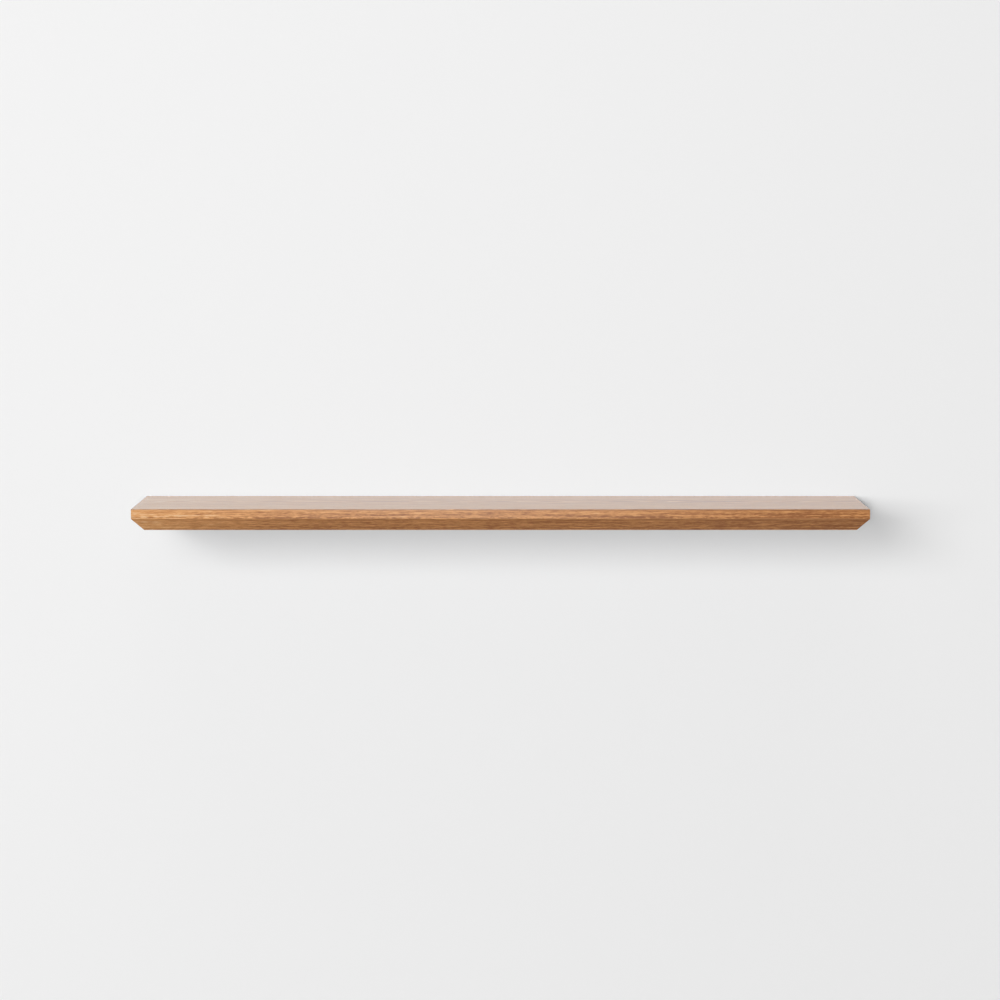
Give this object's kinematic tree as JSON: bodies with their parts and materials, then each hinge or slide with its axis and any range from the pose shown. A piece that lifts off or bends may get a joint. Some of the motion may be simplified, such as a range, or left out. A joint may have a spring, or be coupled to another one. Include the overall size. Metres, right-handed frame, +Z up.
{
  "type": "floating wall shelf",
  "caption": "Slim wooden wall shelf with a flat top, a narrow upright front and an undercut bevel on the front and ends, carried by rods on a hidden steel wall plate.",
  "frame": {"origin": "centre of the wall plate's back face, which lies on the wall at the middle of the board's length and thickness", "axes": "+X along the shelf to the right as one faces the wall, +Y into the wall, +Z up; the board reaches out from the wall along -Y"},
  "size_m": [0.914, 0.2582, 0.027],
  "materials": {
    "stained_hardwood": "warm honey-brown stain under a satin clear coat",
    "face_veneer": "warm honey-brown stain under a satin clear coat",
    "core_lumber": "bare planed softwood",
    "spline_plywood": "bare plywood",
    "powder_coated_steel": "satin black powder coat",
    "zinc_plated_steel": "bright zinc plating",
    "grey_nylon": "moulded matte nylon",
    "brass": "turned brass",
    "black_oxide_steel": "black oxide"
  },
  "bodies": {
    "wall_bracket": {"wall_plate": "powder_coated_steel", "rod_1": "powder_coated_steel", "rod_2": "powder_coated_steel", "rod_3": "powder_coated_steel", "rod_4": "powder_coated_steel", "wall_screw_1": "zinc_plated_steel", "wall_screw_2": "zinc_plated_steel", "wall_screw_3": "zinc_plated_steel", "wall_screw_4": "zinc_plated_steel", "wall_plug_1": "grey_nylon", "wall_plug_2": "grey_nylon", "wall_plug_3": "grey_nylon", "wall_plug_4": "grey_nylon"},
    "shelf": {"top_veneer": "face_veneer", "bottom_veneer": "face_veneer", "front_lipping": "stained_hardwood", "left_lipping": "stained_hardwood", "right_lipping": "stained_hardwood", "core_stave_1": "core_lumber", "core_stave_2": "core_lumber", "core_stave_3": "core_lumber", "core_stave_4": "core_lumber", "core_stave_5": "core_lumber", "front_spline": "spline_plywood", "left_spline": "spline_plywood", "right_spline": "spline_plywood", "threaded_insert_left": "brass", "threaded_insert_right": "brass"},
    "lock_screw_left": {"lock_screw_left": "black_oxide_steel"},
    "lock_screw_right": {"lock_screw_right": "black_oxide_steel"}
  },
  "joints": [
    {"name": "shelf_slide", "type": "slide", "parent": "wall_bracket", "child": "shelf", "axis": [0, -1, 0], "range_m": [0, 0.16]},
    {"name": "lock_screw_left_travel", "type": "slide", "parent": "shelf", "child": "lock_screw_left", "axis": [0, 0, -1], "range_m": [0, 0.002]},
    {"name": "lock_screw_right_travel", "type": "slide", "parent": "shelf", "child": "lock_screw_right", "axis": [0, 0, -1], "range_m": [0, 0.002]}
  ]
}
